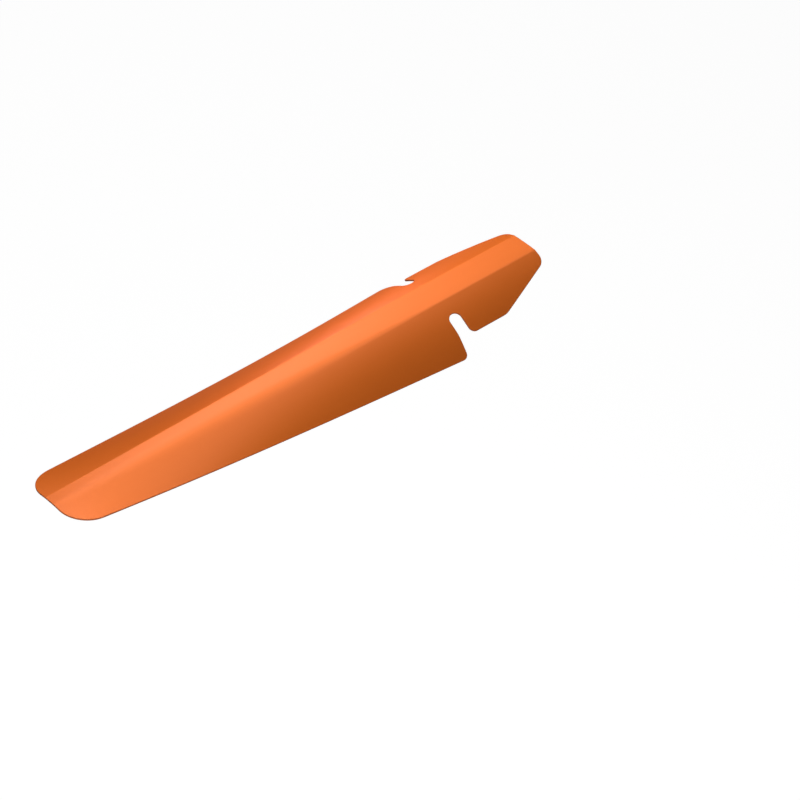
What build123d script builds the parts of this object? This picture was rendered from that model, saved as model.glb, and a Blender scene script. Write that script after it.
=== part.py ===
from build123d import *
import math
import os

# Clip-on rear mudguard: one die-cut plastic sheet, folded along two scored lines into a shallow arch.
# +X points forward, +Y to the rider's left and +Z up, in millimetres.
# The origin lies midway between the two rail notches, at mid thickness of the flat centre strip.

# Sheet
sheet_thickness = 1.0

# Body, from the tail end to the front edge of the shoulders
body_length = 250.0
shoulder_width = 88.0
tail_width = 48.0
tail_corner_radius = 17.0
shoulder_corner_radius = 3.5

# Fold lines either side of the centre strip: the folds are steep at the shoulders and slight at the tail
strip_width_front = 17.0
strip_width_tail = 9.0
bend_radius_front = 3.0
bend_radius_tail = 12.0
fold_front = 33.0
fold_tail = 7.0
fold_relief = 2.4
fold_stations = 9

# Curl of the wings: how much less than its chord a wing slopes at the fold, and how much more at its edge
curl_front = 9.4
curl_tail = 0.7

# Notches for the saddle rails, measured on the flat sheet
rail_spacing = 44.0
notch_radius = 4.0
notch_straight = 8.0
mouth_flare = 2.0
mouth_blend_radius = 30.0

# Ears in front of the notches, and the nose
ear_width = 66.0
ear_length = 26.0
ear_rear_radius = 4.0
ear_front_radius = 10.0
nose_length = 66.0
nose_width = 34.0
nose_corner_radius = 7.0

# How far a corner's arc runs past the edges that it joins, and how far cuts reach beyond the sheet
arc_overrun = 0.03
cut_reach = 4.0

# Stations along the length
shoulder_x = -notch_radius - mouth_flare
ear_front_x = notch_radius + ear_length
nose_x = notch_radius + nose_length

# Half widths on the flat sheet
half_shoulder = shoulder_width / 2
half_tail = tail_width / 2
half_strip_front = strip_width_front / 2
half_strip_tail = strip_width_tail / 2
half_ear = ear_width / 2
half_nose = nose_width / 2
notch_centre = rail_spacing / 2
mouth_root = notch_centre + notch_straight


def half_width_at(share):
    """Flat half width of the body; share runs from 0 at the shoulders to 1 at the tail."""
    return half_shoulder + (half_tail - half_shoulder) * share


def half_strip_at(share):
    """Distance of a fold line from the centre line."""
    return half_strip_front + (half_strip_tail - half_strip_front) * share


def fold_at(share):
    """Angle in radians by which a wing hangs below the centre strip."""
    return math.radians(fold_front + (fold_tail - fold_front) * share**fold_relief)


def curl_at(share):
    """Angle in radians between a wing's chord and its slope at the fold, or at the edge."""
    return math.radians(curl_front + (curl_tail - curl_front) * share)


def wing_points(share, height):
    """Section points on the left: strip edge, middle and end of the bend, middle and edge of the wing.

    The bend and the wing are two arcs that run into each other, and the wing's edge is square to its chord.
    The height is that of the face over the middle of the sheet.
    """
    fold = fold_at(share)
    curl = curl_at(share)
    root = fold - curl
    bend_radius = bend_radius_front + (bend_radius_tail - bend_radius_front) * share
    setback = bend_radius * math.tan(root / 2)
    wing_length = half_width_at(share) - half_strip_at(share) - setback
    wing_radius = wing_length / (2 * curl)

    def on_arc(centre, radius, slope):
        """Point of an arc where the sheet slopes by that angle."""
        return centre + Vector(0, math.sin(slope), math.cos(slope)) * (radius + height)

    bend_centre = Vector(shoulder_x - body_length * share, half_strip_at(share) - setback, -bend_radius)
    wing_centre = bend_centre + Vector(0, math.sin(root), math.cos(root)) * (bend_radius - wing_radius)
    half_turn = math.asin(math.sin(curl) * wing_radius / (wing_radius + height))
    on_bend = [on_arc(bend_centre, bend_radius, slope) for slope in (0, root / 2, root)]
    on_wing = [on_arc(wing_centre, wing_radius, slope) for slope in (fold, fold + half_turn)]
    return on_bend + on_wing


def wing_edge(share):
    """Middle of the left wing's cut edge."""
    return wing_points(share, 0)[-1]


def wing_plane(share):
    """Plane of the left wing's chord, with X along the sheet and Y out from the fold line."""
    slope = fold_at(share)
    normal = (0, math.sin(slope), math.cos(slope))
    return Plane(origin=(0, half_strip_at(share), 0), x_dir=(1, 0, 0), z_dir=normal)


def fold_section(share):
    """Section across the folded sheet."""
    top = wing_points(share, sheet_thickness / 2)
    under = wing_points(share, -sheet_thickness / 2)
    top_right = [Vector(p.X, -p.Y, p.Z) for p in top]
    under_right = [Vector(p.X, -p.Y, p.Z) for p in under]
    edges = [
        Edge.make_line(top_right[0], top[0]),
        Edge.make_three_point_arc(top[0], top[1], top[2]),
        Edge.make_three_point_arc(top[2], top[3], top[4]),
        Edge.make_line(top[4], under[4]),
        Edge.make_three_point_arc(under[4], under[3], under[2]),
        Edge.make_three_point_arc(under[2], under[1], under[0]),
        Edge.make_line(under[0], under_right[0]),
        Edge.make_three_point_arc(under_right[0], under_right[1], under_right[2]),
        Edge.make_three_point_arc(under_right[2], under_right[3], under_right[4]),
        Edge.make_line(under_right[4], top_right[4]),
        Edge.make_three_point_arc(top_right[4], top_right[3], top_right[2]),
        Edge.make_three_point_arc(top_right[2], top_right[1], top_right[0]),
    ]
    return Face(Wire(edges))


def corner_waste(corner, along_a, along_b, radius):
    """What a rounded corner loses, on a plane: the corner's kite outside the arc that joins two edges."""
    point = Vector(corner)
    edge_a = Vector(along_a).normalized()
    edge_b = Vector(along_b).normalized()
    half_angle = math.radians(edge_a.get_angle(edge_b)) / 2
    bisector = (edge_a + edge_b).normalized()
    centre = point + bisector * (radius / math.sin(half_angle) - arc_overrun)
    tangent_length = radius / math.tan(half_angle)
    rim = [point + edge_a * tangent_length, point, point + edge_b * tangent_length]
    kite = [centre] + [centre + (p - centre) * 2 for p in rim]
    return make_face(Polyline(kite, close=True)) - Pos(centre) * Circle(radius)


# Folded blank: the body opens out toward the tail, the front keeps the section of the shoulders
sections = [fold_section(i / (fold_stations - 1)) for i in range(fold_stations)]
body = loft(sections)
front = extrude(sections[0], amount=nose_x - shoulder_x, dir=(1, 0, 0))
blank = body + front

# Waste beside the front, drawn on the left wing's plane as X against distance from the centre line
front_plane = wing_plane(0)
shoulder_corner = front_plane.to_local_coords(wing_edge(0))
past_corner = front_plane.to_local_coords(wing_edge(shoulder_corner_radius / body_length))
shoulder_reach = half_strip_front + shoulder_corner.Y
beyond_wing = shoulder_reach + cut_reach
beyond_nose = nose_x + cut_reach
nose_slope = (half_nose - half_ear) / (nose_x - ear_front_x)
outline = [
    (shoulder_x, beyond_wing),
    (shoulder_x, shoulder_reach),
    (-notch_radius, mouth_root),
    (-notch_radius, notch_centre),
    (notch_radius, notch_centre),
    (notch_radius, half_ear),
    (ear_front_x, half_ear),
    (beyond_nose, half_nose + nose_slope * cut_reach),
    (beyond_nose, beyond_wing),
]
shoulder_edge = (-notch_radius - shoulder_x, mouth_root - shoulder_reach)
body_edge = (past_corner.X - shoulder_corner.X, past_corner.Y - shoulder_corner.Y)
nose_edge = (ear_front_x - nose_x, half_ear - half_nose)
waste = make_face(Polyline(outline, close=True)) + Pos(0, notch_centre) * Circle(notch_radius)
waste = fillet(waste.vertices().sort_by_distance(outline[2])[0], mouth_blend_radius)
waste = fillet(waste.vertices().sort_by_distance(outline[5])[0], ear_rear_radius)
waste = fillet(waste.vertices().sort_by_distance(outline[6])[0], ear_front_radius)
waste += corner_waste((shoulder_x, shoulder_reach), shoulder_edge, body_edge, shoulder_corner_radius)
waste += corner_waste((nose_x, half_nose), (0, -1), nose_edge, nose_corner_radius)
front_cut = extrude(front_plane * Pos(0, -half_strip_front) * waste, amount=cut_reach, both=True)

# Waste at the tail corner, drawn on the plane that the wing has where the rounding starts
rounding_share = 1 - tail_corner_radius / body_length
tail_plane = wing_plane(rounding_share)
rounding_start = tail_plane.to_local_coords(wing_edge(rounding_share))
tail_corner = tail_plane.to_local_coords(wing_edge(1))
tail_edge = (rounding_start.X - tail_corner.X, rounding_start.Y - tail_corner.Y)
tail_waste = corner_waste((tail_corner.X, tail_corner.Y), (0, -1), tail_edge, tail_corner_radius)
tail_cut = extrude(tail_plane * tail_waste, amount=cut_reach, both=True)

# Both sides of the sheet are cut alike
left_cuts = front_cut + tail_cut
guard = blank - left_cuts - mirror(left_cuts, about=Plane.XZ)

os.makedirs("parts", exist_ok=True)
export_step(guard, "parts/mudguard.step")
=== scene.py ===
import math

import bpy
import numpy as np
from mathutils import Matrix, Vector


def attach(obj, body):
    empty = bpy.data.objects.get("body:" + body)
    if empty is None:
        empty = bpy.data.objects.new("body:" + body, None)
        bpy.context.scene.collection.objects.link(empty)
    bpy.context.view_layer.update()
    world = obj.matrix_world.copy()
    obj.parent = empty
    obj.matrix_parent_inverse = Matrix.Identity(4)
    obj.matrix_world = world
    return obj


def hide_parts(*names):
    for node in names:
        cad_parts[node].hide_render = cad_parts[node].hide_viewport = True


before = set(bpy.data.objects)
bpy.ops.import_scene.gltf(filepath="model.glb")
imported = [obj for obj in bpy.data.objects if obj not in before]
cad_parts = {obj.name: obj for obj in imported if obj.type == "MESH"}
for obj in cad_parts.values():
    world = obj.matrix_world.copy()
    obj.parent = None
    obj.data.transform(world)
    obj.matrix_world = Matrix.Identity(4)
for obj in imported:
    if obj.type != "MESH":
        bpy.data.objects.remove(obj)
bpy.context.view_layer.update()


# Camera: it stands above and behind the guard, on its right, level but for a slight roll.
# Its place, aim and lens give the guard the size, angle and spot that it has in the photograph.
camera_place = Vector((-0.70469, -0.80368, 0.87391))
camera_aim = Vector((-0.06829, -0.05308, -0.00389))
camera_roll = math.radians(-0.164)
camera_data = bpy.data.cameras.new("camera")
camera_data.sensor_width = 36.0
camera_data.lens = 111.7
camera_data.clip_end = 200.0
camera = bpy.data.objects.new("camera", camera_data)
looking = (camera_aim - camera_place).to_track_quat("-Z", "Y").to_matrix().to_4x4()
camera.matrix_world = Matrix.Translation(camera_place) @ looking @ Matrix.Rotation(camera_roll, 4, "Z")
bpy.context.scene.collection.objects.link(camera)
bpy.context.scene.camera = camera
bpy.context.scene.view_settings.view_transform = "Standard"


# Folded sheet: the whole mudguard is one 1 mm sheet of orange polypropylene, calendered with a satin face.
# It is die-cut to its outline, scored along two lines and folded there by hand into an arch, so its sides
# differ a little. The folds are strong at the shoulders and slight at the tail; notches clip it in place.
mm = 0.001
sheet_thickness = 1.0 * mm
edge_round = 0.22 * mm
body_length = 250.0 * mm
half_shoulder = 44.0 * mm
half_tail = 24.0 * mm
half_strip_front = 8.5 * mm
left_half_strip_tail = 3.6 * mm
right_half_strip_tail = 4.5 * mm
fold_front = math.radians(33.0)
fold_tail = math.radians(7.0)
fold_relief = 2.4
left_curl_front = math.radians(13.0)
left_curl_tail = math.radians(2.6)
right_curl_front = math.radians(9.4)
right_curl_tail = math.radians(0.7)
crown_front = math.radians(2.5)
crisp_bend_front = 3.0 * mm
crisp_bend_tail = 5.0 * mm
soft_bend_front = 4.0 * mm
soft_bend_tail = 45.0 * mm
tail_twist = math.radians(4.0)
twist_growth = 1.5
shoulder_x = -6.0 * mm
tail_x = shoulder_x - body_length
tail_corner_radius = 17.0 * mm
shoulder_corner_radius = 3.5 * mm
notch_radius = 4.0 * mm
notch_centre = 22.0 * mm
mouth_root = 30.0 * mm
mouth_blend_radius = 30.0 * mm
ear_front_x = 30.0 * mm
half_ear = 33.0 * mm
ear_rear_radius = 4.0 * mm
ear_front_radius = 10.0 * mm
nose_x = 70.0 * mm
half_nose = 17.0 * mm
nose_corner_radius = 7.0 * mm


def length_share(x):
    """0 from the shoulders forward, 1 at the tail, even between."""
    return np.clip((shoulder_x - x) / body_length, 0.0, 1.0)


def fold_angle(x):
    """Slope of a wing's chord below the strip: most at the shoulders, falling as a power of the share."""
    return fold_front + (fold_tail - fold_front) * length_share(x) ** fold_relief


def curl_angle(x, across):
    """How much less than its chord a wing slopes at its root, and how much more at its edge."""
    front = np.where(across < 0, right_curl_front, left_curl_front)
    tail = np.where(across < 0, right_curl_tail, left_curl_tail)
    return front + (tail - front) * length_share(x)


def crown_angle(x):
    """Slope that the slightly rounded centre strip has where a bend begins; it fades out at the tail."""
    return crown_front * (1 - length_share(x))


def bend_arc(x, across):
    """Radius of a bend and half its arc length. The radius grows evenly to the tail, more on the right."""
    front = np.where(across < 0, soft_bend_front, crisp_bend_front)
    tail = np.where(across < 0, soft_bend_tail, crisp_bend_tail)
    radius = front + (tail - front) * length_share(x)
    return radius, radius * (fold_angle(x) - curl_angle(x, across) - crown_angle(x)) / 2


def fold_line(x, across):
    """Distance of a fold line from the centre line. It shrinks evenly to the tail, more on the left."""
    tail = np.where(across < 0, right_half_strip_tail, left_half_strip_tail)
    return half_strip_front + (tail - half_strip_front) * length_share(x)


def folded(x, across):
    """Point of the folded sheet's middle layer for a point of the flat blank, x along it and across from its
    centre line. Three arcs lead out from the centre line: the strip, the bend and the wing. Along an arc the
    slope grows evenly, and its chord is its length times the sinc of half its turn, at the mean slope. A
    twist that grows as a power of the share then turns the section about the centre line, right side up."""
    bend_radius, half_bend = bend_arc(x, across)
    flank = fold_line(x, across) - half_bend
    half_width = half_shoulder + (half_tail - half_shoulder) * length_share(x)
    wing = half_width - flank - 2 * half_bend
    wing_curvature = 2 * curl_angle(x, across) / wing
    arcs = [(flank, crown_angle(x) / flank), (2 * half_bend, 1 / bend_radius), (np.inf, wing_curvature)]
    remaining = np.abs(across)
    y, z, slope = 0.0, 0.0, 0.0
    for length, curvature in arcs:
        run = np.minimum(remaining, length)
        half_turn = curvature * run / 2
        chord = run * np.sinc(half_turn / np.pi)
        y = y + chord * np.cos(slope + half_turn)
        z = z - chord * np.sin(slope + half_turn)
        slope = slope + 2 * half_turn
        remaining = remaining - run
    y = np.sign(across) * y
    twist = tail_twist * length_share(x) ** twist_growth
    twisted_y = y * np.cos(twist) + z * np.sin(twist)
    twisted_z = z * np.cos(twist) - y * np.sin(twist)
    return np.stack([x, twisted_y, twisted_z], axis=-1)


def face_normal(x, across):
    """Upward normal of the folded sheet: the cross product of its steps along and across the blank."""
    step = 0.02 * mm
    along = folded(x + step, across) - folded(x - step, across)
    sideways = folded(x, across + step) - folded(x, across - step)
    normal = np.cross(along, sideways)
    return normal / np.linalg.norm(normal, axis=-1, keepdims=True)


def die_line(corners, radii, arc_points, spacing):
    """Outline from the first rounded corner to the last one: at each corner an arc that touches both of its
    edges, found by turning the spoke to the incoming edge, and between two arcs an even straight run."""
    rounding_slack = 0.001
    corner = np.array(corners)
    runs = []
    leave = None
    for before, here, after, radius, points in zip(corner, corner[1:], corner[2:], radii, arc_points):
        into = (here - before) / np.linalg.norm(here - before)
        away = (after - here) / np.linalg.norm(after - here)
        turn = math.atan2(into[0] * away[1] - into[1] * away[0], into @ away)
        reach = radius * math.tan(abs(turn) / 2)
        spoke = math.copysign(radius, turn) * np.array([into[1], -into[0]])
        enter = here - into * reach
        swing = np.linspace(0.0, turn, points)[:, None]
        if leave is not None:
            divisions = math.ceil(np.linalg.norm(enter - leave) / spacing - rounding_slack)
            runs.append(leave + (enter - leave) * np.linspace(0.0, 1.0, divisions, endpoint=False)[:, None])
        turned = np.cos(swing) * spoke + np.sin(swing) * np.array([-spoke[1], spoke[0]])
        runs.append((enter - spoke + turned)[:-1])
        leave = here + away * reach
    return np.concatenate(runs + [leave[None]])


def outward(outline):
    """Unit normals to the left of the outline's own direction, from central differences along it."""
    way = np.gradient(outline, axis=0)
    normal = np.stack([-way[:, 1], way[:, 0]], axis=-1)
    return normal / np.linalg.norm(normal, axis=-1, keepdims=True)


# Half outline of the blank: tail corner, shoulder, notch with its flared mouth, ear and nose corner
notch_floor = notch_centre - notch_radius
half_outline = die_line(
    corners=[
        (tail_x, 0.0),
        (tail_x, half_tail),
        (shoulder_x, half_shoulder),
        (-notch_radius, mouth_root),
        (-notch_radius, notch_floor),
        (notch_radius, notch_floor),
        (notch_radius, half_ear),
        (ear_front_x, half_ear),
        (nose_x, half_nose),
        (nose_x, 0.0),
    ],
    radii=[
        tail_corner_radius,
        shoulder_corner_radius,
        mouth_blend_radius,
        notch_radius,
        notch_radius,
        ear_rear_radius,
        ear_front_radius,
        nose_corner_radius,
    ],
    arc_points=[28, 10, 7, 14, 14, 10, 10, 18],
    spacing=2.4 * mm,
)
edge_x, edge_across = (half_outline - edge_round * outward(half_outline)).T

# Rows run from the centre line to the outline; beside the notch they fan out from a stretch of that line
fan_back_x = -60.0 * mm
fan_front_x = 22.0 * mm
rows = np.arange(len(edge_x))
fan_back = int(np.argmax(edge_x > fan_back_x))
notch_first = int(np.argmax((edge_across < notch_centre) & (edge_x > 2 * shoulder_x)))
notch_last = int(np.argmax((edge_x > notch_radius) & (edge_across > notch_centre)))
fan_front = int(np.argmax(edge_x > fan_front_x))
fan_rows = [fan_back, notch_first, notch_last, fan_front]
fan_places = [edge_x[fan_back], -2 * notch_radius, 2 * notch_radius, edge_x[fan_front]]
in_fan = (rows > fan_back) & (rows < fan_front)
spine_x = np.where(in_fan, np.interp(rows, fan_rows, fan_places), edge_x)

# Stations of a row: even steps over the half strip, the bend and the wing, and a narrow one at the edge.
# Rows that fan out leave the strip straight across, and lean over more and more toward the edge.
strip_steps = 8
bend_steps = 10
wing_steps = 26
last_step_start = 0.985
fan_lean = 1.5
strip_part = np.concatenate([np.linspace(0, 1, strip_steps + 1), np.ones(bend_steps + wing_steps + 1)])
bend_even = np.linspace(0, 1, bend_steps + 1)
bend_part = np.concatenate([np.zeros(strip_steps), bend_even, np.ones(wing_steps + 1)])
wing_even = np.linspace(0, last_step_start, wing_steps + 1)
wing_part = np.concatenate([np.zeros(strip_steps + bend_steps), wing_even, [1.0]])
half_x = spine_x[:, None] + (edge_x - spine_x)[:, None] * wing_part**fan_lean


def across_blank(side):
    """Distance of each station from the centre line, plus on the left and minus on the right."""
    half_bend = bend_arc(half_x, side)[1]
    half_strip = fold_line(half_x, side)
    wing_reach = edge_across[:, None] - half_strip - half_bend
    on_strip = strip_part * (half_strip - half_bend)
    on_bend = bend_part * 2 * half_bend
    return side * (on_strip + on_bend + wing_part * wing_reach)


blank_x = np.concatenate([half_x[:, :0:-1], half_x], axis=1)
blank_across = np.concatenate([across_blank(-1)[:, :0:-1], across_blank(1)], axis=1)
row_count, column_count = blank_x.shape

# Upper and lower face, each half the thickness off the middle layer
middle = folded(blank_x, blank_across)
lift = face_normal(blank_x, blank_across) * sheet_thickness / 2
cell = np.arange(row_count * column_count).reshape(row_count, column_count)
upper_corners = [cell[:-1, :-1], cell[1:, :-1], cell[1:, 1:], cell[:-1, 1:]]
upper_faces = np.stack(upper_corners, axis=-1).reshape(-1, 4)
lower_faces = upper_faces[:, ::-1] + cell.size

# Cut edge: a small round, a plain wall and a small round, carried once about the outline
brim = np.concatenate([cell[0, :-1], cell[:-1, -1], cell[-1, :0:-1], cell[:0:-1, 0]])
brim_flat = np.stack([blank_x.ravel()[brim], blank_across.ravel()[brim]])
brim_way = np.roll(brim_flat, -1, axis=1) - np.roll(brim_flat, 1, axis=1)
brim_out = np.stack([-brim_way[1], brim_way[0]]) / np.linalg.norm(brim_way, axis=0)
round_turn = np.linspace(0, np.pi / 2, 5)
round_out = edge_round * np.sin(round_turn)
round_up = sheet_thickness / 2 - edge_round * (1 - np.cos(round_turn))
profile_out = np.concatenate([round_out[1:], round_out[:0:-1]])[:, None]
profile_up = np.concatenate([round_up[1:], -round_up[:0:-1]])[:, None, None]
ring_x = brim_flat[0] + brim_out[0] * profile_out
ring_across = brim_flat[1] + brim_out[1] * profile_out
rings = folded(ring_x, ring_across) + face_normal(ring_x, ring_across) * profile_up
ring_cell = 2 * cell.size + np.arange(ring_x.size).reshape(ring_x.shape)
bands = np.concatenate([brim[None], ring_cell, brim[None] + cell.size])
bands = np.concatenate([bands, bands[:, :1]], axis=1)
edge_corners = [bands[:-1, :-1], bands[:-1, 1:], bands[1:, 1:], bands[1:, :-1]]
edge_faces = np.stack(edge_corners, axis=-1).reshape(-1, 4)

points = np.concatenate([layer.reshape(-1, 3) for layer in (middle + lift, middle - lift, rings)])
faces = np.concatenate([upper_faces, lower_faces, edge_faces])
sheet_mesh = bpy.data.meshes.new("folded_sheet")
sheet_mesh.from_pydata(points, [], faces)
sheet_mesh.polygons.foreach_set("use_smooth", np.ones(len(faces), dtype=bool))

# The material reads two values kept on the points: how far each lies from the nearer fold line, and 1 where
# it lies on the cut edge
flat_across = np.concatenate([blank_across.ravel()] * 2 + [ring_across.ravel()])
flat_x = np.concatenate([blank_x.ravel()] * 2 + [ring_x.ravel()])
score_offset = np.abs(flat_across) - fold_line(flat_x, flat_across)
from_score = sheet_mesh.attributes.new("from_score", "FLOAT", "POINT")
from_score.data.foreach_set("value", np.abs(score_offset).astype(np.float32))
cut_edge = sheet_mesh.attributes.new("cut_edge", "FLOAT", "POINT")
cut_edge.data.foreach_set("value", (np.arange(len(points)) >= 2 * cell.size).astype(np.float32))
sheet_mesh.update()
sheet_mesh.validate()
folded_sheet = bpy.data.objects.new("folded_sheet", sheet_mesh)
bpy.context.scene.collection.objects.link(folded_sheet)


class Shade:
    """A socket of a node tree; sums, products and the like with numbers or other sockets add Math nodes."""

    def __init__(self, tree, socket=None):
        self.tree = tree
        self.socket = socket

    def node(self, kind, settings=None, out=0, **values):
        """A node of the given type: its settings come first, then its sockets, as values or links. A socket
        goes by its name, with underscores for spaces, or as at_ with its number."""
        made = self.tree.nodes.new(kind)
        for name, value in (settings or {}).items():
            setattr(made, name, value)
        for name, value in values.items():
            plain = int(name[3:]) if name.startswith("at_") else name.replace("_", " ")
            entry = made.inputs[plain]
            if isinstance(value, Shade):
                self.tree.links.new(value.socket, entry)
            else:
                entry.default_value = value
        return Shade(self.tree, made.outputs[out] if made.outputs else None)

    def math(self, operation, first, second):
        return self.node("ShaderNodeMath", {"operation": operation}, at_0=first, at_1=second)

    def __add__(self, other):
        return self.math("ADD", self, other)

    def __sub__(self, other):
        return self.math("SUBTRACT", self, other)

    def __rsub__(self, other):
        return self.math("SUBTRACT", other, self)

    def __mul__(self, other):
        return self.math("MULTIPLY", self, other)

    __radd__ = __add__
    __rmul__ = __mul__


# Satin polypropylene: orange right through, with a fine matt grain, faint streaks along the calendering, a
# pressed line at each fold and a rougher cut edge, whose darker colour is painted shade. The Metallic share
# gives its wide gloss the sheet's own colour. The thin white gloss over that has a high index, so it hardly
# grows at a flat angle.
deep_orange = (0.70, 0.145, 0.014, 1.0)
light_orange = (0.74, 0.159, 0.018, 1.0)
# Darker orange for the cut edge: painted shade along the sheet's edge, not a colour of the plastic
edge_shade_orange = (0.42, 0.105, 0.028, 1.0)
score_reach = 0.55 * mm
satin_orange = bpy.data.materials.new("satin_orange_polypropylene")
satin_orange.use_nodes = True
tree = satin_orange.node_tree
tree.nodes.clear()
start = Shade(tree)
place = start.node("ShaderNodeTexCoord", out="Object")
lengthwise = start.node("ShaderNodeMapping", Vector=place, Scale=(0.06, 1.0, 1.0))
cloudy = start.node("ShaderNodeTexNoise", Vector=place, Scale=22.0, Detail=3.0)
streaks = start.node("ShaderNodeTexNoise", Vector=lengthwise, Scale=420.0, Detail=2.0)
grain = start.node("ShaderNodeTexNoise", Vector=place, Scale=2600.0, Detail=2.0, Roughness=0.6)
score_gap = start.node("ShaderNodeAttribute", {"attribute_name": "from_score"}, out="Fac")
rim = start.node("ShaderNodeAttribute", {"attribute_name": "cut_edge"}, out="Fac")
score = start.node("ShaderNodeMapRange", {"interpolation_type": "SMOOTHSTEP"}, Value=score_gap,
                   From_Min=0.0, From_Max=score_reach, To_Min=1.0, To_Max=0.0)
tone = 0.5 + (cloudy - 0.5) * 0.7 + (streaks - 0.5) * 0.25
body_colour = start.node("ShaderNodeMix", {"data_type": "RGBA"}, out=2, at_0=tone,
                         at_6=deep_orange, at_7=light_orange)
# The cut edge takes the darker orange here: painted shade along the edge
sheet_colour = start.node("ShaderNodeMix", {"data_type": "RGBA"}, out=2, at_0=rim,
                          at_6=body_colour, at_7=edge_shade_orange)
roughness = 0.52 + (cloudy - 0.5) * 0.05 + (grain - 0.5) * 0.08 + rim * 0.10 - score * 0.04
relief = grain * 0.5 + streaks * 0.5 - score * 1.2
bumped = start.node("ShaderNodeBump", Strength=0.10, Distance=0.05 * mm, Height=relief)
surface = start.node("ShaderNodeBsdfPrincipled", Base_Color=sheet_colour, Roughness=roughness,
                     Metallic=0.45, IOR=1.49, Specular_IOR_Level=0.0, Specular_Tint=(0.1, 0.03, 0.0, 1.0),
                     Coat_Weight=0.062, Coat_Roughness=0.365, Coat_IOR=3.0, Normal=bumped)
start.node("ShaderNodeOutputMaterial", Surface=surface)
sheet_mesh.materials.append(satin_orange)
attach(folded_sheet, "root")
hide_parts("mudguard")


# Floor: a plain white sweep well below the guard, which seems to float in the picture. The camera and gloss
# see it as white paper; what the lamps and the sky add to it carries the guard's soft shadow.
floor_drop = 0.50
floor_reach = 30.0
floor_mesh = bpy.data.meshes.new("floor")
floor_corner = np.array([(-1, -1), (1, -1), (1, 1), (-1, 1)]) * floor_reach
floor_mesh.from_pydata(np.column_stack([floor_corner, np.full(4, -floor_drop)]), [], [(0, 1, 2, 3)])
floor = bpy.data.objects.new("floor", floor_mesh)
bpy.context.scene.collection.objects.link(floor)
white_paper = bpy.data.materials.new("white_paper")
white_paper.use_nodes = True
tree = white_paper.node_tree
tree.nodes.clear()
start = Shade(tree)
light_path = tree.nodes.new("ShaderNodeLightPath")
ray_names = ("Is Camera Ray", "Is Glossy Ray", "Is Transmission Ray")
camera_ray, glossy_ray, glass_ray = (Shade(tree, light_path.outputs[name]) for name in ray_names)
shown = start.math("MINIMUM", camera_ray + glossy_ray + glass_ray, 1.0)
paper = start.node("ShaderNodeBsdfDiffuse", Color=(0.8, 0.8, 0.8, 1.0))
glow = start.node("ShaderNodeEmission", Color=(1.0, 1.0, 1.0, 1.0), Strength=1.16)
seen_paper = start.node("ShaderNodeMixShader", at_0=shown * 0.8, at_1=paper, at_2=glow)
start.node("ShaderNodeOutputMaterial", Surface=seen_paper)
floor_mesh.materials.append(white_paper)


# Studio light: a soft lamp high in front on the left, one overhead, a small low one that reaches the left
# wing, a fill beside the camera and a dim even sky. All are plain white, and each lamp faces the guard.
# A lamp has its place and size in metres, and the light that falls from it on what faces it there.
guard_middle = Vector((-0.131, 0.0, 0.0))
lamps = {
    "key_lamp": (Vector((0.645, 1.207, 1.230)), 0.5, 0.90),
    "top_lamp": (Vector((0.129, 0.133, 0.524)), 0.5, 1.52),
    "low_lamp": (Vector((0.122, 0.351, 0.082)), 0.12, 0.72),
    "fill_lamp": (Vector((-0.771, -0.602, 0.376)), 0.4, 2.30),
}
for lamp_name, (lamp_place, lamp_size, light_level) in lamps.items():
    lamp_data = bpy.data.lights.new(lamp_name, "AREA")
    lamp_data.shape = "DISK"
    lamp_data.size = lamp_size
    # That light is the power of a flat lamp over pi times the distance squared
    lamp_data.energy = light_level * math.pi * (lamp_place - guard_middle).length_squared
    lamp = bpy.data.objects.new(lamp_name, lamp_data)
    facing = (guard_middle - lamp_place).to_track_quat("-Z", "Y").to_matrix().to_4x4()
    lamp.matrix_world = Matrix.Translation(lamp_place) @ facing
    lamp.visible_camera = False
    bpy.context.scene.collection.objects.link(lamp)
sky = bpy.data.worlds.new("sky")
sky.use_nodes = True
sky.node_tree.nodes["Background"].inputs["Color"].default_value = (1.0, 1.0, 1.0, 1.0)
sky.node_tree.nodes["Background"].inputs["Strength"].default_value = 0.01
bpy.context.scene.world = sky
